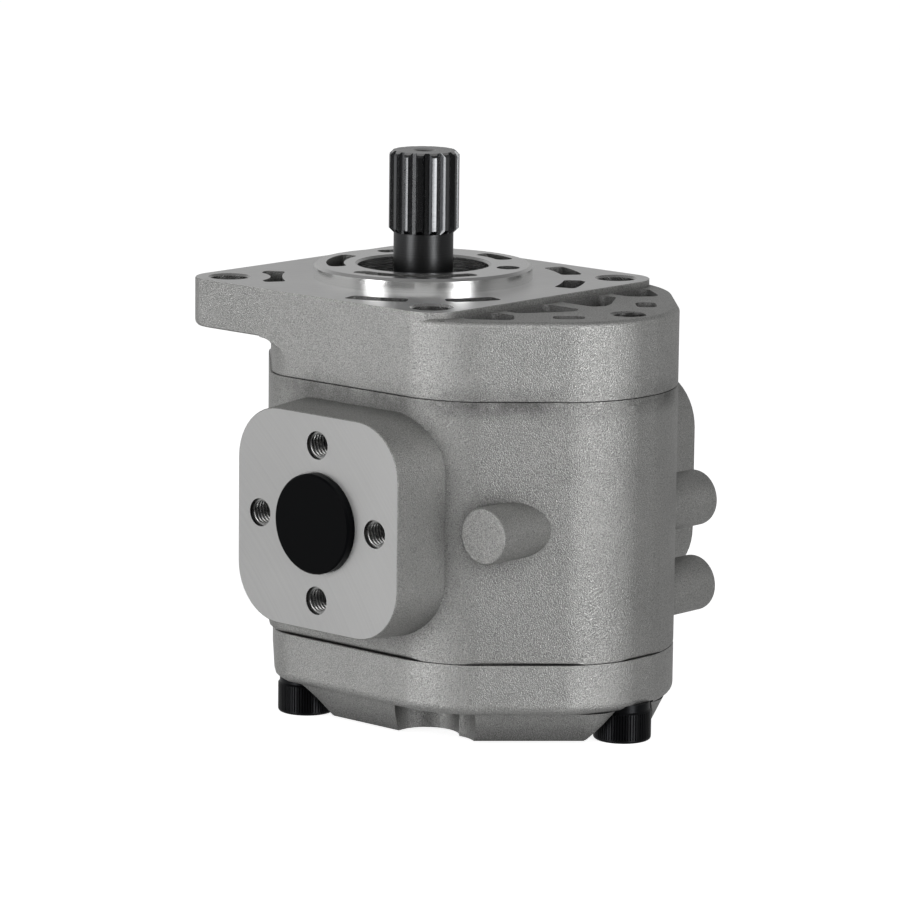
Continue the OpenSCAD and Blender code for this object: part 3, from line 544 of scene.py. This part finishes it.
# Gear housing
# A thick aluminium casting with a square port boss on each long side and round bosses on its slanted
# sides. The port faces are milled, and their bolt holes are drilled, countersunk and tapped M10.
port_x = 24.5
port_z = -76.9
port_face = 81.0
past_port_face = 82
bolt_circle_r = 28
bolt_hole_r = 4.2
bolt_hole_root = 62
countersink_r = 4.1
countersink_mouth_r = 6.35
countersink_depth = 1.25
inlet_bore_r = 15
outlet_bore_r = 13.5
bore_root = 50
port_seat_r = 18.5
port_seat_depth = 0.2
boss_half_width = 39
boss_corner_r = 20
boss_root = 58
boss_root_spread = 1.04
milled_edge = 0.3
rear_seam_z = -125.1
# The housing's skin also gets painted shade in its cavities.
housing_skin = finish(
    "housing_skin", (0.44, 0.44, 0.43), metallic=0.8, roughness=0.47, marks=grain_nodes,
    values={"Grain": 2600.0, "Contrast": 1.5, "Blotches": 0.2, "Seam": -0.0307, "SeamDarkening": 0.6},
    bump=0.22, rough_swing=0.12, shade=0.65)
milled_port = finish(
    "milled_port", (0.68, 0.68, 0.675), metallic=0.9, roughness=0.44, marks=arc_nodes,
    values={"Centre": (-0.18, -0.081, -0.25), "Arcs": 700.0, "Contrast": 0.1},
    bump=0.002, rough_swing=0.03)
port_bolts = [
    (port_x + bolt_circle_r * math.cos(turn), port_z + bolt_circle_r * math.sin(turn))
    for turn in (0, math.pi / 2, math.pi, 3 * math.pi / 2)]


def on_port_face(place, normal):
    """The milled faces of both ports."""
    return abs(place.y) > port_face - 0.1 and abs(normal.y) > 0.9


def in_port_bolt_hole(place, normal):
    """The walls of the port bolt holes, with their threads and countersinks."""
    hole_reach = 5.5
    return abs(place.y) > bolt_hole_root - 1 and any(
        math.hypot(place.x - x, place.z - z) < hole_reach for x, z in port_bolts)


def in_housing_bore(place, normal):
    """The bores of both ports, and the figure-eight bore of the gears."""
    from_port = math.hypot(place.x - port_x, place.z - port_z)
    beyond_gears = max(0, -place.x, place.x - 49)
    return from_port < port_seat_r + 0.2 or math.hypot(place.y, beyond_gears) < 42


def lying_bar(x, z, radius, start, end, sides=64, end_radius=None):
    """A round bar or cone along the port's axis, between two distances from the gears' plane."""
    bpy.ops.object.select_all(action="DESELECT")
    near, far = (radius, end_radius or radius) if end > start else (end_radius or radius, radius)
    bpy.ops.mesh.primitive_cone_add(
        vertices=sides, radius1=far * millimetre, radius2=near * millimetre,
        depth=abs(end - start) * millimetre, location=(0, 0, 0))
    made = bpy.context.object
    bpy.ops.object.mode_set(mode="EDIT")
    bpy.ops.transform.rotate(value=math.pi / 2, orient_axis="X", center_override=(0, 0, 0))
    bpy.ops.transform.translate(value=(x * millimetre, (start + end) / 2 * millimetre, z * millimetre))
    bpy.ops.object.mode_set(mode="OBJECT")
    return made


def port_boss(side):
    """A square boss with wide corners, a little draft and a narrow milled edge."""
    low_y, high_y = sorted((side * boss_root, side * port_face))
    made = block(
        (port_x - boss_half_width, low_y, port_z - boss_half_width),
        (port_x + boss_half_width, high_y, port_z + boss_half_width))
    bevel_where(made, boss_corner_r, 12, lambda first, second: abs(first.y - second.y) > 5)
    select_only(made)
    bpy.ops.object.mode_set(mode="EDIT")
    bpy.ops.mesh.select_all(action="DESELECT")
    bpy.ops.object.mode_set(mode="OBJECT")
    for vertex in made.data.vertices:
        vertex.select = abs(vertex.co.y) < (boss_root + 2) * millimetre
    bpy.ops.object.mode_set(mode="EDIT")
    bpy.ops.transform.resize(
        value=(boss_root_spread, 1, boss_root_spread),
        center_override=(port_x * millimetre, 0, port_z * millimetre))
    bpy.ops.object.mode_set(mode="OBJECT")
    bevel_where(
        made, milled_edge, 1,
        lambda first, second: min(abs(first.y), abs(second.y)) > port_face - clearance)
    return made


def cast_stub(side, z):
    """A round cast boss that stands out of a slanted side, with a rounded end."""
    stub_x = 83.1
    stub_r = 10.2
    stub_root = 30
    stub_end = 58.6
    edge_r = 0.9
    made = lying_bar(stub_x, z, stub_r, side * stub_root, side * stub_end)
    bevel_where(
        made, edge_r, 3, lambda first, second: min(abs(first.y), abs(second.y)) > stub_end - 0.1)
    return made


gear_housing = dressed_copy("gear_housing", "gear_housing_casting")
housing_form = casing_block(rear_seam_z + clearance, front_seam_z - clearance)
bevel_where(housing_form, seam_edge_r, 2, lambda first, second: abs(first.z - second.z) < 0.01)
cut_away(gear_housing, [housing_form], "INTERSECT")
cut_away(gear_housing, [
    port_boss(-1), port_boss(1), cast_stub(-1, -76.5), cast_stub(1, -78.2), cast_stub(1, -110)], "UNION")
seat_floor = port_face - port_seat_depth
past_seat = past_port_face + 0.5
port_cutters = [
    lying_bar(port_x, port_z, inlet_bore_r, -past_port_face, -bore_root),
    lying_bar(port_x, port_z, outlet_bore_r, bore_root, past_port_face),
    lying_bar(port_x, port_z, port_seat_r, -past_seat, -seat_floor),
    lying_bar(port_x, port_z, port_seat_r, seat_floor, past_seat)]
for side in (-1, 1):
    for x, z in port_bolts:
        port_cutters.append(
            lying_bar(x, z, bolt_hole_r, side * bolt_hole_root, side * past_port_face, sides=32))
        port_cutters.append(lying_bar(
            x, z, countersink_r, side * (port_face - countersink_depth), side * past_port_face,
            sides=32, end_radius=countersink_mouth_r))
cut_away(gear_housing, port_cutters)
tap_holes(
    gear_housing, [((x, side * port_face, z), (0, side, 0)) for side in (-1, 1) for x, z in port_bolts],
    minor=4.15, major=5.0, pitch=1.5, length=18)
fit_piece(gear_housing, "gear_housing", "housing", [
    (milled_port, on_port_face), (cut_thread, in_port_bolt_hole), (bored_hole, in_housing_bore),
    (housing_skin, None)])

# Rear cover
# A flat aluminium casting with a raised back, relieved round each screw head.
rim_back = -143.8
rim_edge_r = 4
raised_back_inset = 3.4
raised_back_corner_r = 14
raised_back_edge_r = 1.3
behind_screws = -170
rear_cover = dressed_copy("rear_cover", "rear_cover_casting")
rear_form = casing_block(rim_back, rear_seam_z - clearance)
bevel_where(
    rear_form, seam_edge_r, 2, lambda first, second: min(first.z, second.z) > rear_seam_z - 2 * clearance)
bevel_where(rear_form, rim_edge_r, 6, lambda first, second: max(first.z, second.z) < rim_back + clearance)
raised_form = casing_block(
    behind_screws, rim_back + 2 * clearance, -raised_back_inset, raised_back_corner_r)
cut_away(rear_form, [raised_form], "UNION")
cut_away(rear_cover, [rear_form], "INTERSECT")
round_edges(rear_cover, raised_back_edge_r, 3, lambda end: end.z < rim_back - 0.6)
fit_piece(rear_cover, "rear_cover", "housing", [(cast_skin, None)])

# Drive shaft
# One forging of case-hardened steel, ground on its journals and spline, turned on its neck.
hardened_steel = finish(
    "hardened_steel", (0.16, 0.163, 0.168), metallic=1.0, roughness=0.2, marks=ring_nodes,
    values={"Axis": (0.0, 0.0, 0.0), "Rings": 1500.0, "Contrast": 0.15},
    bump=0.002, rough_swing=0.04)
turned_steel = finish(
    "turned_steel", (0.075, 0.076, 0.078), metallic=1.0, roughness=0.34, marks=ring_nodes,
    values={"Axis": (0.0, 0.0, 0.0), "Rings": 3500.0, "Contrast": 0.6},
    bump=0.012, rough_swing=0.06)
ground_end = finish(
    "ground_end", (0.6, 0.6, 0.6), metallic=1.0, roughness=0.4, marks=ring_nodes,
    values={"Axis": (0.0, 0.0, 0.0), "Rings": 2500.0, "Contrast": 0.15},
    bump=0.004, rough_swing=0.03)
spline_turn = math.radians(12.7)
neck_r = 10.95
neck_end = 16.5
ground_from = 17.5
end_face_from = 46.2
centre_hole_r = 3
drive_shaft = dressed_copy("drive_gear_shaft", "splined_drive_shaft")
select_only(drive_shaft)
bpy.ops.object.mode_set(mode="EDIT")
bpy.ops.mesh.select_all(action="DESELECT")
bpy.ops.object.mode_set(mode="OBJECT")
for vertex in drive_shaft.data.vertices:
    off_shaft_axis = off_axis(vertex.co / millimetre, 0, 0)
    vertex.select = vertex.co.z > neck_end * millimetre and off_shaft_axis > neck_r + 0.1
bpy.ops.object.mode_set(mode="EDIT")
bpy.ops.transform.rotate(value=-spline_turn, orient_axis="Z", center_override=(0, 0, 0))
bpy.ops.object.mode_set(mode="OBJECT")
apply_modifier(
    drive_shaft, "BEVEL", width=0.1 * millimetre, segments=2, limit_method="ANGLE",
    angle_limit=math.radians(32), use_clamp_overlap=True)


def on_shaft_end(place, normal):
    """The ground end face, round its centre hole."""
    return place.z > end_face_from and normal.z > 0.5 and off_axis(place, 0, 0) > centre_hole_r


def on_spline_or_journal(place, normal):
    """The hardened stretches above the neck and inside the pump."""
    return place.z > ground_from or place.z < -30


fit_piece(drive_shaft, "drive_gear_shaft", "drive_shaft", [
    (ground_end, on_shaft_end), (hardened_steel, on_spline_or_journal), (turned_steel, None)])

# Cap screws
# Four M14 socket head screws of black oxidised steel, with a straight knurl rolled on their heads.
# They pass through the rear cover and the housing into the front cover's threads.
black_oxide = finish(
    "black_oxide", (0.009, 0.0095, 0.011), metallic=0.6, roughness=0.36, marks=grain_nodes,
    values={"Grain": 1500.0, "Contrast": 0.4, "Blotches": 0.1},
    bump=0.01, rough_swing=0.05, gloss=0.3)
screw_places = [(-50, 0), (-10.91, 48.8), (-10.91, -48.8), (99, 0)]
head_r = 10.4
knurl_foot = -145.4
knurl_end = -154.9
knurl_ridges = 66
groove_r = 0.5
cap_screws = dressed_copy("cap_screws", "knurled_cap_screws")
knurls = []
for x, y in screw_places:
    bpy.ops.object.select_all(action="DESELECT")
    bpy.ops.mesh.primitive_cylinder_add(
        vertices=3, radius=groove_r * millimetre, depth=(knurl_foot - knurl_end) * millimetre,
        location=(0, 0, 0))
    knurl = bpy.context.object
    bpy.ops.object.mode_set(mode="EDIT")
    bpy.ops.transform.rotate(value=-math.pi / 2, orient_axis="Z", center_override=(0, 0, 0))
    bpy.ops.transform.translate(value=((head_r + 0.1) * millimetre, 0, 0))
    bpy.ops.mesh.spin(
        steps=knurl_ridges - 1, dupli=True, angle=2 * math.pi * (knurl_ridges - 1) / knurl_ridges,
        center=(0, 0, 0), axis=(0, 0, 1))
    bpy.ops.mesh.select_all(action="SELECT")
    bpy.ops.transform.translate(
        value=(x * millimetre, y * millimetre, (knurl_foot + knurl_end) / 2 * millimetre))
    bpy.ops.mesh.normals_make_consistent(inside=False)
    bpy.ops.object.mode_set(mode="OBJECT")
    knurls.append(knurl)
bpy.ops.object.select_all(action="DESELECT")
for knurl in knurls:
    knurl.select_set(True)
bpy.context.view_layer.objects.active = knurls[0]
bpy.ops.object.join()
apply_modifier(cap_screws, "BOOLEAN", operation="DIFFERENCE", object=knurls[0], solver="MANIFOLD")
bpy.data.objects.remove(knurls[0])
fit_piece(cap_screws, "cap_screws", "housing", [(black_oxide, None)], angle=30)

# Transit plugs
# Push-in plugs moulded of black polyethylene keep dirt out of the ports until the pump is fitted.
black_polyethylene = finish(
    "black_polyethylene", (0.0025, 0.0028, 0.0035), metallic=0.0, roughness=0.4, marks=grain_nodes,
    values={"Grain": 900.0, "Contrast": 0.2, "Blotches": 0.2},
    bump=0.003, rough_swing=0.03, gloss=0.07)
for plug in ("inlet_plug", "outlet_plug"):
    fit_piece(
        dressed_copy(plug, plug + "_moulding"), plug, plug, [(black_polyethylene, None)])

# Driven gear, bearing blocks and bushes
# The second gear is one piece with its journals, hardened and ground. Both shafts turn in lined
# bronze bushes, pressed into figure-eight blocks of aluminium that seal the gears' faces.
ground_gear = finish(
    "ground_gear", (0.3, 0.3, 0.305), metallic=1.0, roughness=0.24, marks=ring_nodes,
    values={"Axis": (0.049, 0.0, 0.0), "Rings": 2500.0, "Contrast": 0.2},
    bump=0.004, rough_swing=0.05)
machined_block = finish(
    "machined_block", (0.72, 0.72, 0.73), metallic=1.0, roughness=0.3, marks=arc_nodes,
    values={"Centre": (-0.2, 0.1, -0.08), "Arcs": 900.0, "Contrast": 0.15},
    bump=0.005, rough_swing=0.05)
sintered_bronze = finish(
    "sintered_bronze", (0.5, 0.32, 0.15), metallic=1.0, roughness=0.4, marks=grain_nodes,
    values={"Grain": 2500.0, "Contrast": 0.5, "Blotches": 0.3},
    bump=0.01, rough_swing=0.08)
fit_piece(
    dressed_copy("driven_gear_shaft", "driven_gear_forging"), "driven_gear_shaft", "driven_shaft",
    [(ground_gear, None)])
for bearing in ("front_bearing_block", "rear_bearing_block"):
    fit_piece(
        dressed_copy(bearing, bearing + "_body"), bearing, "housing",
        [(machined_block, None)])
for bush in ("drive_front_bush", "drive_rear_bush", "driven_front_bush", "driven_rear_bush"):
    fit_piece(dressed_copy(bush, bush + "_shell"), bush, "housing", [(sintered_bronze, None)])

# Seals
# Nitrile rubber seals lie in grooves of the housing and behind the bearing blocks, where strips of
# pale plastic back them. The shaft seal has a steel case, a rubber lip and a garter spring.
nitrile_rubber = finish(
    "nitrile_rubber", (0.015, 0.015, 0.016), metallic=0.0, roughness=0.55, marks=grain_nodes,
    values={"Grain": 1200.0, "Contrast": 0.3, "Blotches": 0.2},
    bump=0.004, rough_swing=0.05, gloss=0.3)
cut_plastic = finish(
    "cut_plastic", (0.75, 0.72, 0.64), metallic=0.0, roughness=0.45, marks=grain_nodes,
    values={"Grain": 900.0, "Contrast": 0.1, "Blotches": 0.1},
    bump=0.004, rough_swing=0.05)
bright_steel = finish(
    "bright_steel", (0.5, 0.5, 0.52), metallic=1.0, roughness=0.25, marks=ring_nodes,
    values={"Axis": (0.0, 0.0, 0.0), "Rings": 2500.0, "Contrast": 0.15},
    bump=0.003, rough_swing=0.04)
seal_pieces = {
    "front_housing_seal": ("seal_rubber", nitrile_rubber),
    "rear_housing_seal": ("seal_rubber", nitrile_rubber),
    "front_pressure_seal": ("seal_rubber", nitrile_rubber),
    "rear_pressure_seal": ("seal_rubber", nitrile_rubber),
    "front_backup_strip": ("strip_plastic", cut_plastic),
    "rear_backup_strip": ("strip_plastic", cut_plastic),
    "shaft_seal_case": ("pin_steel", bright_steel),
    "shaft_seal_lip": ("seal_rubber", nitrile_rubber),
    "seal_garter_spring": ("pin_steel", bright_steel)}
for seal, (slot, material) in seal_pieces.items():
    fit_piece(dressed_copy(seal, seal + "_moulding"), seal, "housing", [(material, None)])

# Retaining ring and dowels
# A spring steel ring keeps the shaft seal in its bore. Four hardened pins line up the castings.
fit_piece(
    dressed_copy("seal_retaining_ring", "spring_ring"), "seal_retaining_ring", "housing",
    [(black_oxide, None)])
fit_piece(
    dressed_copy("dowel_pins", "ground_dowels"), "dowel_pins", "housing",
    [(bright_steel, None)])

# Floor and studio
# A white sweep under a soft overhead light, with two upright light strips that the turned faces
# mirror. The room is bright beside and behind the pump, and dark behind the camera.
floor_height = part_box("cap_screws")[0].z
bpy.ops.object.select_all(action="DESELECT")
bpy.ops.mesh.primitive_plane_add(size=16, location=(0, 0, floor_height))
floor = bpy.context.object
floor.name = "studio_floor"
floor_paint = bpy.data.materials.new("white_sweep")
floor_paint.use_nodes = True
tree = floor_paint.node_tree
paint = tree.nodes["Principled BSDF"]
paint.inputs["Base Color"].default_value = (0.85, 0.85, 0.85, 1)
paint.inputs["Roughness"].default_value = 1
paint.inputs["Specular IOR Level"].default_value = 0
paint.inputs["Emission Color"].default_value = (1, 1, 1, 1)
paint.inputs["Emission Strength"].default_value = 0.87
from_below = shader_node(tree, "ShaderNodeNewGeometry").outputs["Backfacing"]
clear = shader_node(tree, "ShaderNodeBsdfTransparent")
one_way = shader_node(tree, "ShaderNodeMixShader", {0: from_below, 1: paint.outputs[0], 2: clear.outputs[0]})
tree.links.new(one_way.outputs[0], tree.nodes["Material Output"].inputs["Surface"])
floor.data.materials.append(floor_paint)
floor.visible_glossy = False
floor.visible_diffuse = False

room_brightness = 0.41
left_wall_brighter = 0.13
ceiling_share = 0.52
floor_glow = 0.36
behind_camera = 0.05
backdrop_brightness = 1.1
studio = bpy.data.worlds.new("studio")
bpy.context.scene.world = studio
studio.use_nodes = True
tree = studio.node_tree
front = Vector((math.sin(camera_turn), -math.cos(camera_turn), 0))
left = Vector((-math.cos(camera_turn), -math.sin(camera_turn), 0))
direction = shader_node(tree, "ShaderNodeTexCoord").outputs["Generated"]
facing = shader_node(tree, "ShaderNodeVectorMath", {0: direction, 1: front}, operation="DOT_PRODUCT")
leftwards = shader_node(tree, "ShaderNodeVectorMath", {0: direction, 1: left}, operation="DOT_PRODUCT")
height = shader_node(tree, "ShaderNodeSeparateXYZ", {0: direction}).outputs["Z"]
walls = shader_node(tree, "ShaderNodeMath", {
    0: leftwards.outputs["Value"], 1: left_wall_brighter, 2: room_brightness}, operation="MULTIPLY_ADD")
room = ramp(tree, facing.outputs["Value"], 0.15, 0.4, walls.outputs[0], behind_camera)
roof = ramp(tree, height, 0.3, 0.65, 1.0, ceiling_share)
roofed = shader_node(tree, "ShaderNodeMath", {0: room, 1: roof}, operation="MULTIPLY")
whole = ramp(tree, height, -0.3, -0.6, roofed.outputs[0], floor_glow)
seen = shader_node(tree, "ShaderNodeLightPath").outputs["Is Camera Ray"]
lit = shader_node(tree, "ShaderNodeMix", {"Factor": seen, 2: whole, 3: backdrop_brightness})
tree.links.new(lit.outputs[0], tree.nodes["Background"].inputs["Strength"])
tree.nodes["Background"].inputs["Color"].default_value = (1, 1, 1, 1)


def softbox(name, turn, rise, distance, width, tall, brightness):
    """A flat light, turned to the camera's right and raised, aimed at the middle of the pump."""
    aim = Vector((0.02, 0, -0.06))
    around = camera_turn + math.radians(turn)
    up = math.radians(rise)
    out = Vector((math.sin(around) * math.cos(up), -math.cos(around) * math.cos(up), math.sin(up)))
    bpy.ops.object.light_add(type="AREA", location=aim + distance * out)
    light = bpy.context.object
    light.name = name
    light.rotation_euler = out.to_track_quat("Z", "Y").to_euler()
    light.data.shape = "RECTANGLE"
    light.data.size = width
    light.data.size_y = tall
    light.data.energy = brightness * math.pi * width * tall
    light.visible_camera = False


softbox("left_strip", turn=-51, rise=-2, distance=1.2, width=0.42, tall=1.6, brightness=3.6)
softbox("right_strip", turn=40, rise=-2, distance=1.2, width=0.36, tall=1.6, brightness=5.4)
softbox("front_overhead", turn=-8, rise=40, distance=1.4, width=1.0, tall=0.8, brightness=1.3)

bpy.context.scene.view_settings.view_transform = "Standard"
